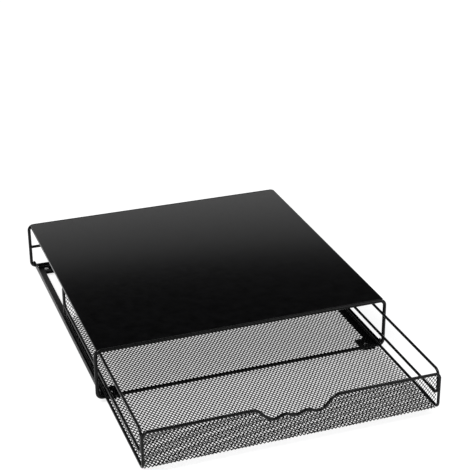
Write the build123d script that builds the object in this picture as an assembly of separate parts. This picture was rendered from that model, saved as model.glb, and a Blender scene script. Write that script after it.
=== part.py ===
from build123d import *
import math
import os

# Coffee pod box: a low wire and sheet stand with one drawer that slides out at the front. The
# drawer has a mesh front, back and floor, and open wire sides.
# Millimetres, +Z up, the front towards -Y. The origin is on the ground, in the middle of the
# footprint that the stand and the opened drawer cover together.

# Stand, outside sizes
stand_width = 338.0
stand_depth = 344.0
stand_height = 64.3

# Stand wires: two upright hoops and the bar across the back
hoop_wire = 4.0
hoop_bend = 6.0
stop_wire = 3.5
stop_height = 34.8

# Top plate
plate_sheet = 1.0
plate_side_setback = 3.6
plate_hem_depth = 2.4

# Rails and the plates that carry the feet
rail_sheet = 0.9
rail_web_height = 8.5
rail_flange_width = 9.7
rail_bend = 0.8
rail_inset = 2.0
foot_plate_sheet = 1.0
foot_plate_length = 25.0
foot_plate_width = 17.0
foot_plate_side_inset = 10.5

# Rubber feet, pushed up through a hole in each foot plate
foot_inset_side = 19.0
foot_inset_end = 12.0
foot_pad_height = 3.0
foot_pad_diameter = 12.0
foot_pad_chamfer = 0.8
foot_neck_diameter = 4.2
foot_hole_diameter = 4.8
foot_head_diameter = 5.6
foot_head_height = 0.7

# Drawer. Its width and depth follow from the stand that it slides in.
drawer_height = 45.2

# Drawer wires
frame_wire = 3.2
frame_bend = 6.0
side_wire = 3.0
side_bend = 7.0
side_loop_above_runners = 14.7
rim_below_side_rims = 1.1

# Finger cut-out in the front rim: three valleys and two bumps, mirrored about the middle
grip_shoulder_x = 42.4
grip_shoulder_bend = 11.0
grip_valley_x = 26.6
grip_valley_drop = 15.8
grip_valley_bend = 9.0
grip_bump_x = 11.2
grip_bump_drop = 10.6
grip_bump_bend = 8.0
grip_middle_drop = 14.8
grip_middle_bend = 9.0

# Mesh panels. The real diamonds are finer: each of these stands for a group of them.
mesh_sheet = 0.7
mesh_edge = 1.2
mesh_top_cover = 2.4
wall_diamond_across = 7.5
wall_diamond_up = 9.8
wall_strand = 1.3
floor_diamond_across = 20.9
floor_diamond_along = 31.0
floor_strand = 2.6

# Fits
weld_gap = 0.2
running_gap = 0.3
drawer_side_play = 1.3
closed_setback = 0.5

# How far the drawer stands out in front of the stand as it is drawn here
drawer_out = 146.6

# Places that follow from the sizes
half_stand = stand_width / 2
stand_front = -(stand_depth - drawer_out) / 2
stand_back = stand_front + stand_depth
hoop_radius = hoop_wire / 2
hoop_top = stand_height
plate_bottom = stand_height - plate_sheet
foot_plate_bottom = foot_pad_height
rail_bottom = foot_plate_bottom + foot_plate_sheet
hoop_bottom = rail_bottom + weld_gap
rail_outer = half_stand - hoop_wire - rail_inset
rail_front = stand_front + hoop_wire + weld_gap
rail_back = stand_back - hoop_wire - weld_gap
stop_y = stand_back - hoop_wire - weld_gap - stop_wire / 2

half_drawer = rail_outer - rail_sheet - drawer_side_play
drawer_bottom = hoop_bottom + hoop_wire + running_gap
drawer_top = drawer_bottom + drawer_height
closed_front = stand_front + closed_setback
closed_back = stop_y - stop_wire / 2 - running_gap
drawer_front = stand_front - drawer_out
drawer_back = drawer_front + closed_back - closed_front
rim_z = drawer_top - rim_below_side_rims - frame_wire / 2
runner_z = drawer_bottom + frame_wire / 2
frame_x = half_drawer - frame_wire / 2
frame_front_y = drawer_front + frame_wire / 2
frame_back_y = drawer_back - frame_wire / 2
mesh_bottom = drawer_bottom + running_gap
wall_top = rim_z
mesh_outer_x = half_drawer - frame_wire - weld_gap
mesh_front_y = drawer_front + frame_wire + weld_gap
mesh_back_y = drawer_back - frame_wire - weld_gap
front_mesh_inner_y = mesh_front_y + mesh_sheet
back_mesh_inner_y = mesh_back_y - mesh_sheet


def closed_wire(points, radii, diameter):
    """A round wire bent into a closed loop through points, with a bend radius at each."""
    path = FilletPolyline(*points, radius=radii, close=True)
    section = Plane(origin=path @ 0, z_dir=path % 0) * Circle(diameter / 2)
    return sweep(section, path=path)


def straight_wire(start, end, diameter):
    """A straight round wire from start to end."""
    run = Vector(*end) - Vector(*start)
    return Plane(origin=start, z_dir=run) * Cylinder(
        diameter / 2, run.length, align=(Align.CENTER, Align.CENTER, Align.MIN)
    )


def block(low, high):
    """A box between its lowest and highest corners."""
    sides = [b - a for a, b in zip(low, high)]
    return Pos(*low) * Box(*sides, align=(Align.MIN, Align.MIN, Align.MIN))


def stand_hoop(y):
    """An upright loop of wire: two posts, a top wire and a bottom wire, in the plane at y."""
    x = half_stand - hoop_radius
    low = hoop_bottom + hoop_radius
    high = hoop_top - hoop_radius
    corners = [(-x, y, low), (x, y, low), (x, y, high), (-x, y, high)]
    return closed_wire(corners, [hoop_bend] * len(corners), hoop_wire)


def top_plate():
    """The sheet that carries the load, with a short hem turned down along each side."""
    half = half_stand - plate_side_setback
    front = stand_front + hoop_wire + weld_gap
    back = stand_back - hoop_wire - weld_gap
    plate = block((-half, front, plate_bottom), (half, back, stand_height))
    for side in (-1, 1):
        edges = sorted((side * half, side * (half - plate_sheet)))
        hem_bottom = plate_bottom - plate_hem_depth
        plate += block((edges[0], front, hem_bottom), (edges[1], back, plate_bottom))
    return plate


def rail(side):
    """An L section along one side: a low web beside the posts and a flange under the drawer."""
    outer = rail_outer
    inner = outer - rail_flange_width
    top = rail_bottom + rail_web_height
    profile = [
        (outer, rail_bottom, rail_bend + rail_sheet),
        (outer, top, 0),
        (outer - rail_sheet, top, 0),
        (outer - rail_sheet, rail_bottom + rail_sheet, rail_bend),
        (inner, rail_bottom + rail_sheet, 0),
        (inner, rail_bottom, 0),
    ]
    points = [(x, z) for x, z, _ in profile]
    outline = FilletPolyline(*points, radius=[bend for _, _, bend in profile], close=True)
    section = Plane.XZ * make_face(outline.edges())
    bar = Pos(0, rail_back, 0) * extrude(section, amount=rail_back - rail_front)
    return bar if side > 0 else mirror(bar, about=Plane.YZ)


def foot_place(side, end):
    """The centre of a foot, for side -1 or 1 in X and end -1 (front) or 1 (back)."""
    x = side * (half_stand - foot_inset_side)
    y = stand_front + foot_inset_end if end < 0 else stand_back - foot_inset_end
    return x, y


def foot_plate(side, end):
    """A small plate under the bottom wire and the rail, with a hole for its foot."""
    outer = half_stand - foot_plate_side_inset
    near = stand_front + weld_gap
    far = near + foot_plate_length
    if end > 0:
        far = stand_back - weld_gap
        near = far - foot_plate_length
    xs = sorted((side * outer, side * (outer - foot_plate_width)))
    plate = block((xs[0], near, foot_plate_bottom), (xs[1], far, rail_bottom))
    x, y = foot_place(side, end)
    hole = Pos(x, y, foot_plate_bottom + foot_plate_sheet / 2) * Cylinder(
        foot_hole_diameter / 2, 2 * foot_plate_sheet
    )
    return plate - hole


def foot(side, end):
    """A rubber foot: a pad under the plate, a neck through it and a head above it."""
    pad = foot_pad_diameter / 2
    neck = foot_neck_diameter / 2
    head = foot_head_diameter / 2
    top = rail_bottom + foot_head_height
    profile = [
        (0, 0),
        (pad - foot_pad_chamfer, 0),
        (pad, foot_pad_chamfer),
        (pad, foot_plate_bottom),
        (neck, foot_plate_bottom),
        (neck, rail_bottom),
        (head, rail_bottom),
        (neck, top),
        (0, top),
    ]
    section = Plane.XZ * make_face(Polyline(*profile, close=True))
    x, y = foot_place(side, end)
    return Pos(x, y, 0) * revolve(section, Axis.Z)


def grip_points():
    """The corners of the front rim's cut-out from left to right: x, drop and bend radius."""
    right = [
        (grip_bump_x, grip_bump_drop, grip_bump_bend),
        (grip_valley_x, grip_valley_drop, grip_valley_bend),
        (grip_shoulder_x, 0, grip_shoulder_bend),
    ]
    left = [(-x, drop, bend) for x, drop, bend in reversed(right)]
    return left + [(0, grip_middle_drop, grip_middle_bend)] + right


def drawer_frame():
    """One wire: the front rim with its cut-out, front legs, runners, back legs and back rim."""
    grip = grip_points()
    points = [(-frame_x, frame_back_y, rim_z)]
    points += [(-frame_x, frame_back_y, runner_z), (-frame_x, frame_front_y, runner_z)]
    points += [(-frame_x, frame_front_y, rim_z)]
    points += [(x, frame_front_y, rim_z - drop) for x, drop, _ in grip]
    points += [(frame_x, frame_front_y, rim_z), (frame_x, frame_front_y, runner_z)]
    points += [(frame_x, frame_back_y, runner_z), (frame_x, frame_back_y, rim_z)]
    radii = [frame_bend] * 4 + [bend for _, _, bend in grip] + [frame_bend] * 4
    return closed_wire(points, radii, frame_wire)


def side_loop(side):
    """The side rim: a flat loop whose lower run is the wire half way down the wall."""
    x = side * (half_drawer - side_wire / 2)
    front = drawer_front + frame_wire + weld_gap + side_wire / 2
    back = drawer_back - frame_wire - weld_gap - side_wire / 2
    low = drawer_bottom + side_loop_above_runners + side_wire / 2
    high = drawer_top - side_wire / 2
    corners = [(x, front, low), (x, back, low), (x, back, high), (x, front, high)]
    return closed_wire(corners, [side_bend] * len(corners), side_wire)


def rim_height(x):
    """The front rim's centre line at x, taken straight between its bends."""
    corners = [(-frame_x, 0)] + [(px, drop) for px, drop, _ in grip_points()] + [(frame_x, 0)]
    for (x0, d0), (x1, d1) in zip(corners, corners[1:]):
        if x0 <= x <= x1:
            return rim_z - d0 - (d1 - d0) * (x - x0) / (x1 - x0)
    return rim_z


def diamond_net(outline, low, high, across, up, strand, fits):
    """A holed face in local x and y: rows of diamonds, each row half a diamond along."""
    half_x = across / 2
    half_y = up / 2
    slant = math.hypot(half_x, half_y)
    hole_x = half_x - strand / 2 * slant / half_y
    hole_y = half_y - strand / 2 * slant / half_x
    middle_x = (low[0] + high[0]) / 2
    middle_y = (low[1] + high[1]) / 2
    rows = math.ceil((high[1] - low[1]) / half_y)
    columns = math.ceil((high[0] - low[0]) / half_x)
    holes = []
    for row in range(-rows, rows + 1):
        for column in range(-columns, columns + 1):
            if (row + column) % 2:
                continue
            x = middle_x + column * half_x
            y = middle_y + row * half_y
            tips = [(x + hole_x, y), (x, y + hole_y), (x - hole_x, y), (x, y - hole_y)]
            if all(fits(tip_x, tip_y) for tip_x, tip_y in tips):
                holes.append(Wire.make_polygon(tips, close=True))
    return Face(outline, holes), len(holes)


def within(low, high, margin):
    """A test that a point lies at least margin inside the rectangle from low to high."""

    def fits(x, y):
        inside_x = low[0] + margin <= x <= high[0] - margin
        return inside_x and low[1] + margin <= y <= high[1] - margin

    return fits


def rectangle_net(low, high, across, up, strand):
    """A net that fills the rectangle from low to high."""
    corners = [low, (high[0], low[1]), high, (low[0], high[1])]
    outline = Wire.make_polygon(corners, close=True)
    return diamond_net(outline, low, high, across, up, strand, within(low, high, mesh_edge))


def front_net():
    """The front panel's net, whose top edge follows the rim and its cut-out."""
    half = mesh_outer_x
    corners = [(half, wall_top, 0), (half, mesh_bottom, 0), (-half, mesh_bottom, 0)]
    corners += [(-half, wall_top, 0)]
    corners += [(x, wall_top - drop, bend) for x, drop, bend in grip_points()]
    points = [(x, z) for x, z, _ in corners]
    outline = FilletPolyline(*points, radius=[bend for _, _, bend in corners], close=True)
    low, high = (-half, mesh_bottom), (half, wall_top)
    inside = within(low, high, mesh_edge)

    def fits(x, z):
        return inside(x, z) and z <= rim_height(x) - mesh_top_cover

    return diamond_net(
        Wire(outline.edges()), low, high, wall_diamond_across, wall_diamond_up, wall_strand, fits
    )


def thick_net(net, plane):
    """A net laid on plane and given its thickness along the plane's normal."""
    face, count = net
    return plane * extrude(face, amount=mesh_sheet, dir=(0, 0, 1)), count


def mesh_panels():
    """The drawer's front, back and floor, each a flat net. Its sides are open wire."""
    walls = (wall_diamond_across, wall_diamond_up, wall_strand)
    front_plane = Plane(origin=(0, front_mesh_inner_y, 0), x_dir=(1, 0, 0), z_dir=(0, -1, 0))
    back_plane = Plane(origin=(0, mesh_back_y, 0), x_dir=(1, 0, 0), z_dir=(0, -1, 0))
    floor_plane = Plane(origin=(0, 0, mesh_bottom))
    back = rectangle_net((-mesh_outer_x, mesh_bottom), (mesh_outer_x, wall_top), *walls)
    floor = rectangle_net(
        (-mesh_outer_x, front_mesh_inner_y),
        (mesh_outer_x, back_mesh_inner_y),
        floor_diamond_across,
        floor_diamond_along,
        floor_strand,
    )
    return {
        "front_mesh": thick_net(front_net(), front_plane),
        "rear_mesh": thick_net(back, back_plane),
        "floor_mesh": thick_net(floor, floor_plane),
    }


def build():
    """Every piece by name."""
    stop_x = half_stand - hoop_radius
    pieces = {
        "top_plate": top_plate(),
        "front_hoop": stand_hoop(stand_front + hoop_radius),
        "rear_hoop": stand_hoop(stand_back - hoop_radius),
        "rear_stop_bar": straight_wire(
            (-stop_x, stop_y, stop_height), (stop_x, stop_y, stop_height), stop_wire
        ),
        "drawer_frame": drawer_frame(),
    }
    for side, side_name in ((-1, "left"), (1, "right")):
        pieces[side_name + "_rail"] = rail(side)
        pieces[side_name + "_side_loop"] = side_loop(side)
        for end, end_name in ((-1, "front"), (1, "rear")):
            corner = end_name + "_" + side_name
            pieces[corner + "_foot_plate"] = foot_plate(side, end)
            pieces[corner + "_foot"] = foot(side, end)
    for name, (panel, count) in mesh_panels().items():
        print(name, "has", count, "gaps")
        pieces[name] = panel
    return pieces


os.makedirs("parts", exist_ok=True)
for name, piece in build().items():
    export_step(piece, os.path.join("parts", name + ".step"))

print("closing travel", round(closed_front - drawer_front, 3))
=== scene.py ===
import math

import bmesh
import bpy
from mathutils import Matrix, Vector, noise

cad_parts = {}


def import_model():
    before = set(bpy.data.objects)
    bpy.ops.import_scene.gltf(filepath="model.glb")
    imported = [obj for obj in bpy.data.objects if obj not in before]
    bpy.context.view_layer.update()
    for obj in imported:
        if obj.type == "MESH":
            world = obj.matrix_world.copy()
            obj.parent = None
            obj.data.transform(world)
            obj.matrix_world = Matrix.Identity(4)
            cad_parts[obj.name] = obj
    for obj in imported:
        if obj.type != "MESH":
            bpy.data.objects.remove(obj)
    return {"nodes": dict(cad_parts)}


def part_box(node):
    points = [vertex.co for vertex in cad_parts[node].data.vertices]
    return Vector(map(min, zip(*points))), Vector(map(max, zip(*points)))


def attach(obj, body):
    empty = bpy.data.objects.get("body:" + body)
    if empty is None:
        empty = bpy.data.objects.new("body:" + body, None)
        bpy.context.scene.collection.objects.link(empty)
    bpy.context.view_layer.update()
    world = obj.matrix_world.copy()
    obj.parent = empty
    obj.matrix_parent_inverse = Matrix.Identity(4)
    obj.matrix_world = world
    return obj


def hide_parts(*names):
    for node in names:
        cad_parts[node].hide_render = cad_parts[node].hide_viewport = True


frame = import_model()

bpy.context.view_layer.update()

MM = 0.001

# The photograph's camera: place in metres, turn and tilt in degrees, focal length in pixels
IMAGE_WIDTH = 470
CAMERA_PLACE = (-0.42575, -1.25629, 0.73928)
CAMERA_YAW = 19.68
CAMERA_PITCH = -24.75
CAMERA_ROLL = -0.36
FOCAL_PIXELS = 1297.6
SENSOR_WIDTH = 36.0

# Sides of a turned piece or a round hole, and the degrees from which an edge is sharp
ROUND_SIDES = 48
SHARP_ANGLE = 35

# Expanded mesh: a diamond's size across and along, and the width of its strands
WALL_DIAMOND = (3.88 * MM, 5.13 * MM, 0.66 * MM)
FLOOR_DIAMOND = (4.3 * MM, 6.15 * MM, 0.88 * MM)

# Its strands: the sheet's thickness, and how far they twist out of the sheet's plane
STRAND_SHEET = 0.42 * MM
STRAND_TILT = 0.13 * MM

# Its cuts: how near a vertex counts as on the cut, and the digits that tell places apart
CUT_REACH = 0.01 * MM
PLACE_DIGITS = 6

# Front rim's finger cut-out: x, drop and bend radius of its middle and of the corners right of it
GRIP_MIDDLE = (0.0, 14.8 * MM, 9.0 * MM)
GRIP_RIGHT = (
    (11.2 * MM, 10.6 * MM, 8.0 * MM),
    (26.6 * MM, 15.8 * MM, 9.0 * MM),
    (42.4 * MM, 0.0, 11.0 * MM),
)

# Wires' diameters
FRAME_WIRE = 3.2 * MM
HOOP_WIRE = 4.0 * MM

# Top plate: thickness, outside radius of its bends and eased edge
PLATE_SHEET = 1.0 * MM
PLATE_BEND = 1.0 * MM
PLATE_EDGE = 0.3 * MM

# How far the plate goes past its solid's ends, so that it meets the hoops' wires
PLATE_LAP = 0.6 * MM

# Rails: thickness, inside radius of the bend and eased edge
RAIL_SHEET = 0.9 * MM
RAIL_BEND = 0.9 * MM
RAIL_EDGE = 0.2 * MM

# Foot tabs: radius of the corners and of the hole, and eased edge
TAB_CORNER = 3.0 * MM
TAB_HOLE = 2.4 * MM
TAB_EDGE = 0.2 * MM

# Foot's pad: its sole's flat ring and rounded edge, and its chamfered upper edge
SOLE_RING = 0.6 * MM
SOLE_ROUND = 0.9 * MM
SOLE_STEPS = 6
PAD_CHAMFER = 0.5 * MM
PAD_CHAMFER_MIDDLE = 0.15 * MM

# Foot's neck and head: their radii, and the head's upright rim and slope
NECK_RADIUS = 2.1 * MM
HEAD_RADIUS = 2.8 * MM
HEAD_RIM = 0.1 * MM
HEAD_SLOPE_IN = 0.35 * MM
HEAD_SLOPE_UP = 0.5 * MM

# How much less the radius of the head's tip is than the neck's
HEAD_TIP_IN = 0.6 * MM

# Weld beads: half their size in x, y and z
RAIL_BEAD = (1.8 * MM, 1.5 * MM, 3.9 * MM)
STOP_BEAD = (1.7 * MM, 0.9 * MM, 1.0 * MM)
LEG_BEAD = (1.0 * MM, 1.1 * MM, 2.2 * MM)

# Their lumps: height as a share of the bead, fineness, and shift in the noise from bead to bead
BEAD_UNEVEN = 0.16
BEAD_LUMPS = 2.1
BEAD_SHIFT = 900

# Rails' beads: how far outside the rail, past its end and above its foot
RAIL_BEAD_OUT = 1.0 * MM
RAIL_BEAD_PAST = 0.4 * MM
RAIL_BEAD_UP = 5.6 * MM

# Stop bar's beads: how far above and below its middle
STOP_BEAD_LIFT = 1.0 * MM

# Drawer's beads: how far from the lower and the upper end of a side loop
LEG_BEAD_FROM_LOW = 8 * MM
LEG_BEAD_FROM_HIGH = 9 * MM

# The values that most of a noise texture lies between
NOISE_SPAN = (0.3, 0.7)

# Powder coat: colour, cells per metre of its mottle and uneven gloss, and its orange peel
COAT_DARK = (0.0012, 0.0012, 0.0013)
COAT_LIGHT = (0.003, 0.003, 0.0032)
COAT_MOTTLE = 90
COAT_GLOSS = 260
PEEL_STRENGTH = 0.35
PEEL_DEPTH = 0.02 * MM

# Rubber: colour, cells per metre of its grain, roughness and relief
RUBBER_DARK = (0.008, 0.008, 0.008)
RUBBER_LIGHT = (0.022, 0.022, 0.021)
RUBBER_GRAIN = 500
RUBBER_ROUGHNESS = (0.65, 0.85)
RUBBER_STRENGTH = 0.4
RUBBER_DEPTH = 0.05 * MM

# Foot's pale head: its colour, partly its own and partly a painted highlight, and the height over
# which that comes in
HEAD_TONE_AND_HIGHLIGHT_DARK = (0.2, 0.2, 0.2)
HEAD_TONE_AND_HIGHLIGHT_LIGHT = (0.3, 0.3, 0.3)
HEAD_TONE_AND_HIGHLIGHT_FADE = 0.3 * MM

# Floor: half its side in metres, and its paint
FLOOR_HALF = 6.0
FLOOR_PAINT = 0.3

# Its lift towards white where it is seen, near and far off, and how many metres those are
FLOOR_LIFT = (0.8, 0.9)
FLOOR_LIFT_REACH = (0.6, 2.0)

# World: the colour and level of its plain light, and the white that the camera sees
WORLD_COLOUR = (0.95, 0.97, 1, 1)
WORLD_LEVEL = 0.35
WHITE = (1, 1, 1, 1)

# In reflections: a backdrop, the degrees of height between which it fades, and a dim room above
BACKDROP_LEVEL = 0.55
BACKDROP_FADE = (21, 28)
ROOM_LEVEL = 0.03

# Lamps: place and side in metres, and power in watts
KEY_PLACE = (-1.1, -0.4, 1.9)
KEY_SIDE = 1.0
KEY_POWER = 36
FILL_PLACE = (1.3, -0.9, 1.6)
FILL_SIDE = 1.8
FILL_POWER = 22


def add_object(name, data):
    """A new object of a mesh, a lamp or a camera, put into the scene."""
    made = bpy.data.objects.new(name, data)
    bpy.context.scene.collection.objects.link(made)
    return made


def object_from_faces(name, vertices, faces):
    """A new object from vertices and faces."""
    mesh = bpy.data.meshes.new(name)
    mesh.from_pydata(vertices, [], faces)
    mesh.validate()
    return add_object(name, mesh)


def object_from_bmesh(name, work):
    """A new object from a bmesh, which is freed."""
    mesh = bpy.data.meshes.new(name)
    work.to_mesh(mesh)
    work.free()
    return add_object(name, mesh)


def put_back(work, piece):
    """Turns a bmesh's faces outwards, makes it the piece's mesh and frees it."""
    bmesh.ops.recalc_face_normals(work, faces=work.faces)
    work.to_mesh(piece.data)
    work.free()
    return piece


def shade_smooth(piece, angle=SHARP_ANGLE):
    """Smooth shading except across edges sharper than angle."""
    for polygon in piece.data.polygons:
        polygon.use_smooth = True
    piece.data.set_sharp_from_angle(angle=math.radians(angle))
    return piece


def bevel(piece, width, segments=3):
    """Rounds the piece's sharp edges."""
    work = bmesh.new()
    work.from_mesh(piece.data)
    least = math.radians(SHARP_ANGLE)
    sharp = [
        edge
        for edge in work.edges
        if len(edge.link_faces) == 2 and edge.calc_face_angle(0) > least
    ]
    bmesh.ops.bevel(
        work,
        geom=sharp,
        offset=width,
        offset_type="OFFSET",
        segments=segments,
        profile=0.5,
        affect="EDGES",
        clamp_overlap=True,
    )
    return put_back(work, piece)


def rounded(points, radii, steps=8):
    """A closed outline in two dimensions with an arc at each corner that has a radius."""
    outline = []
    count = len(points)
    for index, (corner, radius) in enumerate(zip(points, radii)):
        here = Vector(corner)
        back = (Vector(points[index - 1]) - here).normalized()
        ahead = (Vector(points[(index + 1) % count]) - here).normalized()
        if radius <= 0:
            outline.append(here)
            continue
        half = back.angle(ahead) / 2
        reach = radius / math.tan(half)
        centre = here + (back + ahead).normalized() * radius / math.sin(half)
        start = here + back * reach - centre
        end = here + ahead * reach - centre
        turn = start.angle_signed(end)
        for step in range(steps + 1):
            spin = Matrix.Rotation(-turn * step / steps, 2)
            outline.append(centre + spin @ start)
    return outline


def extrude_along_y(name, corners, front, back):
    """A bar from front to back, whose section has corners in x and z, each with a radius."""
    outline = rounded([point for point, _ in corners], [radius for _, radius in corners])
    count = len(outline)
    vertices = [(p.x, front, p.y) for p in outline] + [(p.x, back, p.y) for p in outline]
    sides = [(i, (i + 1) % count, (i + 1) % count + count, i + count) for i in range(count)]
    caps = [tuple(range(count)), tuple(reversed(range(count, 2 * count)))]
    piece = object_from_faces(name, vertices, sides + caps)
    work = bmesh.new()
    work.from_mesh(piece.data)
    return put_back(work, piece)


def node_material(name):
    """A new material with its node tree, its shader and a source of object coordinates."""
    material = bpy.data.materials.new(name)
    material.use_nodes = True
    tree = material.node_tree
    return material, tree, tree.nodes["Principled BSDF"], tree.nodes.new("ShaderNodeTexCoord")


def add_noise(tree, place, scale, detail, roughness=0.5):
    """Noise in object space, with its scale in cells per metre."""
    texture = tree.nodes.new("ShaderNodeTexNoise")
    texture.inputs["Scale"].default_value = scale
    texture.inputs["Detail"].default_value = detail
    texture.inputs["Roughness"].default_value = roughness
    tree.links.new(place.outputs["Object"], texture.inputs["Vector"])
    return texture.outputs["Fac"]


def add_range(tree, source, span, low=0.0, high=1.0):
    """A node that maps a span of a source's values onto the range from low to high."""
    node = tree.nodes.new("ShaderNodeMapRange")
    node.inputs["From Min"].default_value = span[0]
    node.inputs["From Max"].default_value = span[1]
    node.inputs["To Min"].default_value = low
    node.inputs["To Max"].default_value = high
    tree.links.new(source, node.inputs["Value"])
    return node


def add_ramp(tree, source, dark, light):
    """Turns a noise texture into a colour between dark and light."""
    node = tree.nodes.new("ShaderNodeValToRGB")
    colours = (dark, light)
    for element, position, colour in zip(node.color_ramp.elements, NOISE_SPAN, colours):
        element.position = position
        element.color = (*colour, 1)
    tree.links.new(source, node.inputs["Fac"])
    return node.outputs["Color"]


def add_bump(tree, source, shader, strength, depth):
    """Gives the shader a relief from a texture."""
    node = tree.nodes.new("ShaderNodeBump")
    node.inputs["Strength"].default_value = strength
    node.inputs["Distance"].default_value = depth
    tree.links.new(source, node.inputs["Height"])
    tree.links.new(node.outputs["Normal"], shader.inputs["Normal"])


def powder_coat(name, smooth, rough, grain, ior):
    """Powder coat: near-black colour with a faint mottle, uneven gloss and a fine orange peel."""
    material, tree, shader, place = node_material(name)
    mottle = add_noise(tree, place, COAT_MOTTLE, detail=4)
    colour = add_ramp(tree, mottle, COAT_DARK, COAT_LIGHT)
    tree.links.new(colour, shader.inputs["Base Color"])
    gloss = add_noise(tree, place, COAT_GLOSS, detail=5, roughness=0.6)
    uneven = add_range(tree, gloss, NOISE_SPAN, smooth, rough)
    tree.links.new(uneven.outputs["Result"], shader.inputs["Roughness"])
    peel = add_noise(tree, place, grain, detail=2)
    add_bump(tree, peel, shader, PEEL_STRENGTH, PEEL_DEPTH)
    shader.inputs["IOR"].default_value = ior
    return material


def rubber(name, head_z):
    """Moulded rubber: dull and finely grained, and pale on the head above head_z, partly its own
    colour and partly a painted highlight.
    """
    material, tree, shader, place = node_material(name)
    grain = add_noise(tree, place, RUBBER_GRAIN, detail=6, roughness=0.7)
    parts = tree.nodes.new("ShaderNodeSeparateXYZ")
    tree.links.new(place.outputs["Object"], parts.inputs["Vector"])
    above = add_range(tree, parts.outputs["Z"], (head_z, head_z + HEAD_TONE_AND_HIGHLIGHT_FADE))
    mix = tree.nodes.new("ShaderNodeMix")
    mix.data_type = "RGBA"
    tree.links.new(above.outputs["Result"], mix.inputs["Factor"])
    tree.links.new(add_ramp(tree, grain, RUBBER_DARK, RUBBER_LIGHT), mix.inputs["A"])
    # Pale head above head_z: partly its own colour, partly a painted highlight
    tree.links.new(add_ramp(tree, grain, HEAD_TONE_AND_HIGHLIGHT_DARK, HEAD_TONE_AND_HIGHLIGHT_LIGHT), mix.inputs["B"])
    tree.links.new(mix.outputs["Result"], shader.inputs["Base Color"])
    dull = add_range(tree, grain, NOISE_SPAN, *RUBBER_ROUGHNESS)
    tree.links.new(dull.outputs["Result"], shader.inputs["Roughness"])
    add_bump(tree, grain, shader, RUBBER_STRENGTH, RUBBER_DEPTH)
    return material


def paint(piece, material):
    """Gives the piece one material."""
    piece.data.materials.clear()
    piece.data.materials.append(material)


def settle(piece, body, slot, material, *nodes):
    """Paints a new piece, puts it on its body and lets it stand for its nodes."""
    paint(piece, material)
    if nodes:
        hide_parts(*nodes)
    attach(piece, body)


def rim_line(rim_z, half_width):
    """The front rim's centre line in x and z, as short straight runs from left to right."""
    left = [(-x, drop, bend) for x, drop, bend in reversed(GRIP_RIGHT)]
    grip = left + [GRIP_MIDDLE] + list(GRIP_RIGHT)
    points = [(-half_width, rim_z)] + [(x, rim_z - drop) for x, drop, _ in grip]
    points += [(half_width, rim_z)]
    radii = [0] + [bend for _, _, bend in grip] + [0]
    # Two points far below close the line for the rounding, and come off again
    far_below = [(half_width, rim_z - 1), (-half_width, rim_z - 1)]
    outline = rounded(points + far_below, radii + [0, 0])
    return outline[: -len(far_below)]


def cut(work, faces, point, normal, clear=False):
    """Cuts faces along a plane, and if clear, takes away what the normal points to."""
    edges = dict.fromkeys(edge for face in faces for edge in face.edges)
    vertices = dict.fromkeys(vertex for face in faces for vertex in face.verts)
    bmesh.ops.bisect_plane(
        work,
        geom=[*vertices, *edges, *faces],
        plane_co=point,
        plane_no=normal,
        clear_outer=clear,
        dist=CUT_REACH,
    )


def faces_between(work, start, end):
    """The faces whose middle has an x between those of two points."""
    return [face for face in work.faces if start.x < face.calc_center_median().x < end.x]


def cut_to_rectangle(work, low, high):
    """Cuts a net, lying in x and y, to the rectangle from low to high."""
    for point, normal in (
        ((low[0], 0, 0), (-1, 0, 0)),
        ((high[0], 0, 0), (1, 0, 0)),
        ((0, low[1], 0), (0, -1, 0)),
        ((0, high[1], 0), (0, 1, 0)),
    ):
        cut(work, list(work.faces), point, normal, clear=True)


def cut_under_line(work, line):
    """Cuts a net, lying in x and y, along a line from left to right, and keeps what is below."""
    for point in line[1:-1]:
        cut(work, list(work.faces), (point.x, 0, 0), (1, 0, 0))
    above = []
    for start, end in zip(line, line[1:]):
        along = end - start
        normal = Vector((-along.y, along.x, 0))
        place = Vector((start.x, start.y, 0))
        cut(work, faces_between(work, start, end), place, normal)
        strip = faces_between(work, start, end)
        above += [face for face in strip if (face.calc_center_median() - place).dot(normal) > 0]
    bmesh.ops.delete(work, geom=above, context="FACES")


def open_pairs(work):
    """Each open edge of the net's upper side with the one right below it, as a loop."""
    pairs = {}
    for edge in work.edges:
        if edge.is_boundary:
            ends = sorted(edge.verts, key=lambda end: (end.co.x, end.co.y))
            places = tuple(
                (round(end.co.x, PLACE_DIGITS), round(end.co.y, PLACE_DIGITS)) for end in ends
            )
            if places[0] != places[1]:
                pairs.setdefault(places, []).append(ends)
    loops = [(*pair[0], *reversed(pair[1])) for pair in pairs.values() if len(pair) == 2]
    return [loop for loop in loops if len(set(loop)) == 4]


def close_cut_sides(work):
    """Takes away walls that a cut has left on their own, and closes the strands' cut ends."""
    walls = [work.faces.get(loop) for loop in open_pairs(work)]
    bmesh.ops.delete(work, geom=[wall for wall in walls if wall], context="FACES")
    for loop in open_pairs(work):
        work.faces.new(loop)


def connected_pieces(work):
    """The net's faces, sorted into pieces that hang together."""
    left = set(work.faces)
    pieces = []
    while left:
        piece = {left.pop()}
        waiting = list(piece)
        while waiting:
            face = waiting.pop()
            beside = {other for edge in face.edges for other in edge.link_faces}
            found = beside & left
            left -= found
            piece |= found
            waiting.extend(found)
        pieces.append(piece)
    return pieces


def drop_crumbs(work):
    """Deletes all that the cuts have left apart from the largest piece."""
    pieces = sorted(connected_pieces(work), key=len)
    crumbs = [face for piece in pieces[:-1] for face in piece]
    bmesh.ops.delete(work, geom=crumbs, context="FACES")


def steps_over(low, high, start, step):
    """The steps from start that cover the span from low to high, and one more at each end."""
    return range(math.floor((low - start) / step) - 1, math.ceil((high - start) / step) + 2)


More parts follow.
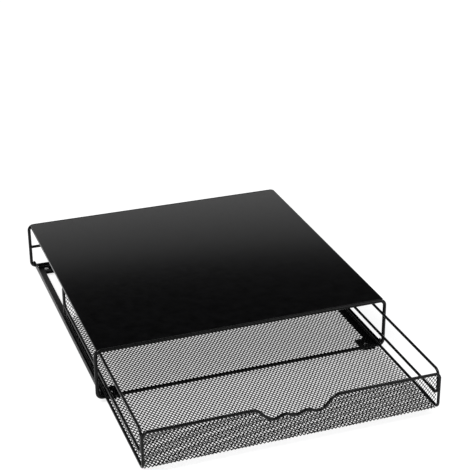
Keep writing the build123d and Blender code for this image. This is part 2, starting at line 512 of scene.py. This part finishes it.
def diamond_net(low, high, start_row, diamond):
    """Vertices and faces of rows of diamonds, in x and y, that cover low to high.

    A strand's two sides slope a little from knot to knot, as the stretching leaves them.
    """
    half_x, half_y, half_strand = (size / 2 for size in diamond)
    slant = math.hypot(half_x, half_y)
    hole_x = half_x - half_strand * slant / half_y
    hole_y = half_y - half_strand * slant / half_x
    top = STRAND_SHEET / 2
    vertices, faces, knots = [], [], {}

    def knot(column, row):
        """The upper of the two vertices, one above the other, where four strands meet."""
        if (column, row) not in knots:
            knots[column, row] = len(vertices)
            x, y = column * half_x, start_row + row * half_y
            vertices.extend([(x, y, top), (x, y, -top)])
        return knots[column, row]

    for row in steps_over(low[1], high[1], start_row, half_y):
        for column in steps_over(low[0], high[0], 0, half_x):
            if (row + column) % 2:
                continue
            x, y = column * half_x, start_row + row * half_y
            around = [
                knot(column + 1, row),
                knot(column, row + 1),
                knot(column - 1, row),
                knot(column, row - 1),
            ]
            hole = len(vertices)
            tips = [
                (x + hole_x, y, 0),
                (x, y + hole_y, -STRAND_TILT),
                (x - hole_x, y, 0),
                (x, y - hole_y, STRAND_TILT),
            ]
            for tip_x, tip_y, lift in tips:
                vertices.extend([(tip_x, tip_y, top + lift), (tip_x, tip_y, -top + lift)])
            for side in range(4):
                ahead = (side + 1) % 4
                inner, inner_ahead = hole + 2 * side, hole + 2 * ahead
                outer, outer_ahead = around[side], around[ahead]
                faces.append((outer, outer_ahead, inner_ahead, inner))
                faces.append((inner + 1, inner_ahead + 1, outer_ahead + 1, outer + 1))
                faces.append((inner, inner_ahead, inner_ahead + 1, inner + 1))
    return vertices, faces


def expanded_mesh(name, low, high, start_row, diamond, line=None):
    """A sheet of expanded metal in x and y, cut to the rectangle from low to high.

    Rows of diamonds start at start_row, in y. The sheet's middle is at z = 0. With a line,
    only what is below it stays.
    """
    piece = object_from_faces(name, *diamond_net(low, high, start_row, diamond))
    work = bmesh.new()
    work.from_mesh(piece.data)
    cut_to_rectangle(work, low, high)
    if line:
        cut_under_line(work, line)
    close_cut_sides(work)
    drop_crumbs(work)
    return put_back(work, piece)


def lay(piece, x_to, y_to, z_to, origin):
    """Lays a piece's own x, y and z along three directions from an origin."""
    turn = Matrix((x_to, y_to, z_to)).transposed().to_4x4()
    piece.data.transform(Matrix.Translation(origin) @ turn)


def drawer_meshes(material):
    """The drawer's mesh front and back, which stand on the fold line, and its mesh floor."""
    front_low, front_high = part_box("front_mesh")
    rear_low, rear_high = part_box("rear_mesh")
    floor_low, floor_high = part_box("floor_mesh")
    fold_z = (floor_low.z + floor_high.z) / 2
    front_y = (front_low.y + front_high.y) / 2
    rear_y = (rear_low.y + rear_high.y) / 2
    across, along, up, forwards = (1, 0, 0), (0, 1, 0), (0, 0, 1), (0, -1, 0)

    front = expanded_mesh(
        "front_mesh_sheet",
        (front_low.x, front_low.z),
        (front_high.x, front_high.z),
        fold_z,
        WALL_DIAMOND,
        rim_line(front_high.z, front_high.x),
    )
    lay(front, across, up, forwards, (0, front_y, 0))
    settle(front, "drawer", "coated_mesh", material, "front_mesh")
    rear = expanded_mesh(
        "rear_mesh_sheet",
        (rear_low.x, rear_low.z),
        (rear_high.x, rear_high.z),
        fold_z,
        WALL_DIAMOND,
    )
    lay(rear, across, up, forwards, (0, rear_y, 0))
    settle(rear, "drawer", "coated_mesh", material, "rear_mesh")
    floor_sheet = expanded_mesh(
        "floor_mesh_sheet",
        (floor_low.x, floor_low.y),
        (floor_high.x, floor_high.y),
        front_y,
        FLOOR_DIAMOND,
    )
    lay(floor_sheet, across, along, up, (0, 0, fold_z))
    settle(floor_sheet, "drawer", "coated_mesh", material, "floor_mesh")


def top_plate(material):
    """The sheet top: bent down along both sides, its edges eased."""
    low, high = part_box("top_plate")
    corners = [
        ((low.x, low.z), 0),
        ((low.x, high.z), PLATE_BEND),
        ((high.x, high.z), PLATE_BEND),
        ((high.x, low.z), 0),
        ((high.x - PLATE_SHEET, low.z), 0),
        ((high.x - PLATE_SHEET, high.z - PLATE_SHEET), 0),
        ((low.x + PLATE_SHEET, high.z - PLATE_SHEET), 0),
        ((low.x + PLATE_SHEET, low.z), 0),
    ]
    plate = extrude_along_y("top_plate_sheet", corners, low.y - PLATE_LAP, high.y + PLATE_LAP)
    bevel(plate, PLATE_EDGE)
    shade_smooth(plate)
    settle(plate, "stand", "coated_sheet", material, "top_plate")


def rails(material):
    """The two rails, each a strip bent to an L with a rounded corner."""
    for side, name in ((-1, "left"), (1, "right")):
        low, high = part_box(name + "_rail")
        outer, inner = (high.x, low.x) if side > 0 else (low.x, high.x)
        web = outer - side * RAIL_SHEET
        corners = [
            ((outer, low.z), RAIL_BEND + RAIL_SHEET),
            ((outer, high.z), 0),
            ((web, high.z), 0),
            ((web, low.z + RAIL_SHEET), RAIL_BEND),
            ((inner, low.z + RAIL_SHEET), 0),
            ((inner, low.z), 0),
        ]
        piece = extrude_along_y(name + "_rail_section", corners, low.y, high.y)
        bevel(piece, RAIL_EDGE)
        shade_smooth(piece)
        settle(piece, "stand", "coated_sheet", material, name + "_rail")


def on_circle(centre, radius, step):
    """The x and y of one of a circle's steps, of which there are ROUND_SIDES."""
    angle = 2 * math.pi * step / ROUND_SIDES
    return centre.x + radius * math.cos(angle), centre.y + radius * math.sin(angle)


def lathe(name, profile, centre):
    """A turned piece from a profile of radius and height about an upright axis."""
    vertices, faces = [], []
    for step in range(ROUND_SIDES):
        for radius, height in profile:
            vertices.append((*on_circle(centre, radius, step), height))
    rows = len(profile)
    for step in range(ROUND_SIDES):
        ahead = (step + 1) % ROUND_SIDES
        for row in range(rows - 1):
            here, there = step * rows + row, ahead * rows + row
            faces.append((here, there, there + 1, here + 1))
    faces.append(tuple(reversed([step * rows for step in range(ROUND_SIDES)])))
    faces.append(tuple(step * rows + rows - 1 for step in range(ROUND_SIDES)))
    return object_from_faces(name, vertices, faces)


def holed_plate(name, outline, centre, bottom, top):
    """A flat plate with a round hole, its edges eased."""
    work = bmesh.new()
    rim = [work.verts.new((p.x, p.y, bottom)) for p in outline]
    ring = [
        work.verts.new((*on_circle(centre, TAB_HOLE, step), bottom))
        for step in range(ROUND_SIDES)
    ]
    loops = []
    for loop in (rim, ring):
        loops += [work.edges.new((a, b)) for a, b in zip(loop, loop[1:] + loop[:1])]
    bmesh.ops.triangle_fill(work, use_beauty=True, use_dissolve=True, edges=loops)
    raised = bmesh.ops.extrude_face_region(work, geom=work.faces[:])
    moved = [item for item in raised["geom"] if isinstance(item, bmesh.types.BMVert)]
    bmesh.ops.translate(work, vec=(0, 0, top - bottom), verts=moved)
    bmesh.ops.recalc_face_normals(work, faces=work.faces)
    plate = object_from_bmesh(name, work)
    bevel(plate, TAB_EDGE, segments=2)
    return shade_smooth(plate)


def foot_profile(pad, bottom, under, over, top):
    """A foot's radius and height from the sole up: pad, neck through the tab, and head."""
    core = pad - SOLE_ROUND
    profile = [(core - SOLE_RING, bottom), (core, bottom)]
    for step in range(1, SOLE_STEPS + 1):
        angle = math.pi / 2 * step / SOLE_STEPS
        height = bottom + SOLE_ROUND * (1 - math.cos(angle))
        profile.append((core + SOLE_ROUND * math.sin(angle), height))
    profile += [
        (pad, under - PAD_CHAMFER),
        (pad - PAD_CHAMFER_MIDDLE, under - PAD_CHAMFER_MIDDLE),
        (pad - PAD_CHAMFER, under),
        (NECK_RADIUS, under),
        (NECK_RADIUS, over),
        (HEAD_RADIUS, over),
        (HEAD_RADIUS, over + HEAD_RIM),
        (HEAD_RADIUS - HEAD_SLOPE_IN, over + HEAD_SLOPE_UP),
        (NECK_RADIUS - HEAD_TIP_IN, top),
    ]
    return profile


def feet(plate_material, rubber_material):
    """The corner tabs, with rounded corners, and the rubber feet pushed through them."""
    for corner in ("front_left", "front_right", "rear_left", "rear_right"):
        low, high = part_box(corner + "_foot_plate")
        foot_low, foot_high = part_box(corner + "_foot")
        centre = (foot_low + foot_high) / 2
        pad = (foot_high.x - foot_low.x) / 2
        rectangle = [(low.x, low.y), (high.x, low.y), (high.x, high.y), (low.x, high.y)]
        outline = rounded(rectangle, [TAB_CORNER] * 4)
        tab = holed_plate(corner + "_foot_tab", outline, centre, low.z, high.z)
        settle(tab, "stand", "coated_sheet", plate_material, corner + "_foot_plate")
        profile = foot_profile(pad, bottom=foot_low.z, under=low.z, over=high.z, top=foot_high.z)
        foot = lathe(corner + "_rubber_foot", profile, centre)
        shade_smooth(foot, angle=50)
        settle(foot, "stand", "foot_rubber", rubber_material, corner + "_foot")


def weld_beads(name, centres, size, body, material):
    """Small lumps of weld under the coat, each a squashed ball with an uneven skin."""
    work = bmesh.new()
    for centre in centres:
        made = bmesh.ops.create_icosphere(work, subdivisions=3, radius=1)
        for vertex in made["verts"]:
            direction = vertex.co.normalized()
            place = direction * BEAD_LUMPS + Vector(centre) * BEAD_SHIFT
            lump = 1 + BEAD_UNEVEN * noise.noise(place)
            offset = Vector([d * s * lump for d, s in zip(direction, size)])
            vertex.co = Vector(centre) + offset
    piece = object_from_bmesh(name, work)
    shade_smooth(piece, angle=180)
    settle(piece, body, "coated_wire", material)


def stand_welds(material):
    """Welds where the stop bar laps the rear posts."""
    low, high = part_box("rear_stop_bar")
    hoop_low, hoop_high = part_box("rear_hoop")
    middle = (low.z + high.z) / 2
    centres = []
    for x in (hoop_low.x + HOOP_WIRE / 2, hoop_high.x - HOOP_WIRE / 2):
        for lift in (-STOP_BEAD_LIFT, STOP_BEAD_LIFT):
            centres.append((x, high.y, middle + lift))
    weld_beads("stand_weld_beads", centres, STOP_BEAD, "stand", material)


def rail_welds(material):
    """Welds that fill the gap between each rail's end and the foot of its post."""
    centres = []
    for side in ("left", "right"):
        low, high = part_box(side + "_rail")
        x = low.x - RAIL_BEAD_OUT if side == "left" else high.x + RAIL_BEAD_OUT
        for y in (low.y - RAIL_BEAD_PAST, high.y + RAIL_BEAD_PAST):
            centres.append((x, y, low.z + RAIL_BEAD_UP))
    weld_beads("rail_weld_beads", centres, RAIL_BEAD, "stand", material)


def drawer_welds(material):
    """Welds where the side loops' uprights meet the drawer frame's legs."""
    frame_low, frame_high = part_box("drawer_frame")
    centres = []
    for name in ("left_side_loop", "right_side_loop"):
        low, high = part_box(name)
        x = (low.x + high.x) / 2
        for y in (frame_low.y + FRAME_WIRE, frame_high.y - FRAME_WIRE):
            for z in (low.z + LEG_BEAD_FROM_LOW, high.z - LEG_BEAD_FROM_HIGH):
                centres.append((x, y, z))
    weld_beads("drawer_weld_beads", centres, LEG_BEAD, "drawer", material)


def paint_wires(material):
    """The wires keep their own shape and get the coat."""
    for name in (
        "front_hoop",
        "rear_hoop",
        "rear_stop_bar",
        "drawer_frame",
        "left_side_loop",
        "right_side_loop",
    ):
        paint(frame["nodes"][name], material)


def camera():
    """The camera at the photograph's place, turn, tilt and roll."""
    yaw, pitch, roll = (math.radians(a) for a in (CAMERA_YAW, CAMERA_PITCH, CAMERA_ROLL))
    ahead = Vector(
        (math.sin(yaw) * math.cos(pitch), math.cos(yaw) * math.cos(pitch), math.sin(pitch))
    )
    level = Vector((math.cos(yaw), -math.sin(yaw), 0))
    upright = level.cross(ahead)
    right = level * math.cos(roll) + upright * math.sin(roll)
    up = -level * math.sin(roll) + upright * math.cos(roll)
    data = bpy.data.cameras.new("camera")
    data.sensor_width = SENSOR_WIDTH
    data.lens = FOCAL_PIXELS * SENSOR_WIDTH / IMAGE_WIDTH
    made = add_object("camera", data)
    turn = Matrix((right, up, -ahead)).transposed().to_4x4()
    made.matrix_world = Matrix.Translation(CAMERA_PLACE) @ turn
    bpy.context.scene.camera = made


def calculate(tree, operation, first, second):
    """A value worked out from two others."""
    node = tree.nodes.new("ShaderNodeMath")
    node.operation = operation
    tree.links.new(first, node.inputs[0])
    tree.links.new(second, node.inputs[1])
    return node.outputs["Value"]


def floor():
    """A wide pale floor, lifted towards white where it is seen, which keeps the shadow."""
    half = FLOOR_HALF
    corners = [(-half, -half, 0), (half, -half, 0), (half, half, 0), (-half, half, 0)]
    made = object_from_faces("floor", corners, [(0, 1, 2, 3)])
    material = bpy.data.materials.new("floor_paint")
    material.use_nodes = True
    tree = material.node_tree
    tree.nodes.clear()
    place = tree.nodes.new("ShaderNodeTexCoord")
    distance = tree.nodes.new("ShaderNodeVectorMath")
    distance.operation = "LENGTH"
    tree.links.new(place.outputs["Object"], distance.inputs[0])
    lift = add_range(tree, distance.outputs["Value"], FLOOR_LIFT_REACH, *FLOOR_LIFT)
    path = tree.nodes.new("ShaderNodeLightPath").outputs
    seen = calculate(tree, "MAXIMUM", path["Is Camera Ray"], path["Is Glossy Ray"])
    seen = calculate(tree, "MAXIMUM", seen, path["Is Transmission Ray"])
    strength = calculate(tree, "MULTIPLY", seen, lift.outputs["Result"])
    glow = tree.nodes.new("ShaderNodeEmission")
    tree.links.new(strength, glow.inputs["Strength"])
    diffuse = tree.nodes.new("ShaderNodeBsdfDiffuse")
    diffuse.inputs["Color"].default_value = (FLOOR_PAINT, FLOOR_PAINT, FLOOR_PAINT, 1)
    total = tree.nodes.new("ShaderNodeAddShader")
    tree.links.new(diffuse.outputs["BSDF"], total.inputs[0])
    tree.links.new(glow.outputs["Emission"], total.inputs[1])
    output = tree.nodes.new("ShaderNodeOutputMaterial")
    tree.links.new(total.outputs["Shader"], output.inputs["Surface"])
    made.data.materials.append(material)


def area_light(name, place, side, power):
    """A soft square lamp at place that faces the object."""
    data = bpy.data.lights.new(name, "AREA")
    data.shape = "SQUARE"
    data.size = side
    data.energy = power
    made = add_object(name, data)
    made.rotation_mode = "QUATERNION"
    made.location = place
    made.rotation_quaternion = (-Vector(place)).to_track_quat("-Z", "Y")


def background(tree, colour, strength=1.0):
    """A plain light from all round."""
    node = tree.nodes.new("ShaderNodeBackground")
    node.inputs["Color"].default_value = colour
    node.inputs["Strength"].default_value = strength
    return node


def choose(tree, factor, first, second):
    """The first shader where the factor is 0 and the second where it is 1."""
    node = tree.nodes.new("ShaderNodeMixShader")
    tree.links.new(factor, node.inputs["Fac"])
    tree.links.new(first.outputs[0], node.inputs[1])
    tree.links.new(second.outputs[0], node.inputs[2])
    return node


def world():
    """White to the camera; to a gloss, a white backdrop low down and a dim room above it."""
    made = bpy.data.worlds.new("surround")
    made.use_nodes = True
    tree = made.node_tree
    tree.nodes.clear()
    direction = tree.nodes.new("ShaderNodeTexCoord")
    parts = tree.nodes.new("ShaderNodeSeparateXYZ")
    tree.links.new(direction.outputs["Generated"], parts.inputs["Vector"])
    fade = [math.sin(math.radians(height)) for height in BACKDROP_FADE]
    backdrop = add_range(tree, parts.outputs["Z"], fade, BACKDROP_LEVEL, ROOM_LEVEL)
    backdrop.interpolation_type = "SMOOTHSTEP"
    reflected = background(tree, WHITE)
    tree.links.new(backdrop.outputs["Result"], reflected.inputs["Strength"])
    lighting = background(tree, WORLD_COLOUR, WORLD_LEVEL)
    path = tree.nodes.new("ShaderNodeLightPath").outputs
    direct = calculate(tree, "MAXIMUM", path["Is Camera Ray"], path["Is Transmission Ray"])
    indirect = choose(tree, path["Is Glossy Ray"], lighting, reflected)
    total = choose(tree, direct, indirect, background(tree, WHITE))
    output = tree.nodes.new("ShaderNodeOutputWorld")
    tree.links.new(total.outputs["Shader"], output.inputs["Surface"])
    bpy.context.scene.world = made


def studio():
    """The floor, the surround, the soft lamps and the plain view."""
    floor()
    world()
    area_light("key", KEY_PLACE, KEY_SIDE, KEY_POWER)
    area_light("fill", FILL_PLACE, FILL_SIDE, FILL_POWER)
    bpy.context.scene.view_settings.view_transform = "Standard"


sheet_coat = powder_coat("sheet_coat", smooth=0.19, rough=0.26, grain=1700, ior=1.2)
rail_coat = powder_coat("rail_coat", smooth=0.3, rough=0.4, grain=1700, ior=1.18)
wire_coat = powder_coat("wire_coat", smooth=0.2, rough=0.27, grain=1500, ior=1.28)
mesh_coat = powder_coat("mesh_coat", smooth=0.4, rough=0.55, grain=2400, ior=1.12)
foot_rubber = rubber("foot_rubber", head_z=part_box("rear_left_foot_plate")[1].z)

camera()
studio()
paint_wires(wire_coat)
top_plate(sheet_coat)
rails(rail_coat)
feet(sheet_coat, foot_rubber)
drawer_meshes(mesh_coat)
stand_welds(wire_coat)
rail_welds(wire_coat)
drawer_welds(wire_coat)

bpy.context.view_layer.update()
